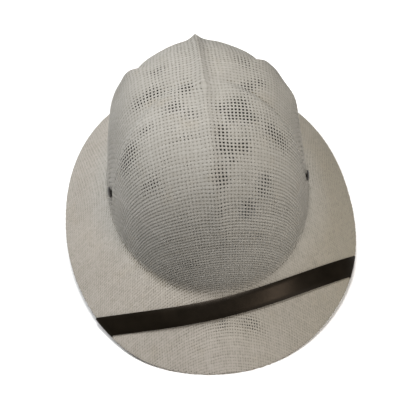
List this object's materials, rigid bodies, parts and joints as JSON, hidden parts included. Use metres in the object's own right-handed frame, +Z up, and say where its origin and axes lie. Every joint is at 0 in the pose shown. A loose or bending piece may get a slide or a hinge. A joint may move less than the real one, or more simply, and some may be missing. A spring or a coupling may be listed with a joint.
{
  "type": "pith helmet",
  "caption": "Woven straw pith helmet with a ridged, four-lobed crown, a sloping brim and a leather chin strap laid over the front brim.",
  "frame": {"origin": "on the resting plane, under the middle of the brim's length and width", "axes": "+Y towards the back of the hat, along its longest extent; +X towards the wearer's left; +Z up"},
  "size_m": [0.2826, 0.3504, 0.1812],
  "materials": {
    "straw": "matt, open square weave of flat straw strands, off-white",
    "strap_leather": "smooth, soft gloss, very dark brown",
    "rivet_metal": "dark, satin"
  },
  "bodies": {
    "root": {"shell": "straw", "strap": "strap_leather", "strap_rivet_left": "rivet_metal", "strap_rivet_right": "rivet_metal"}
  },
  "joints": []
}
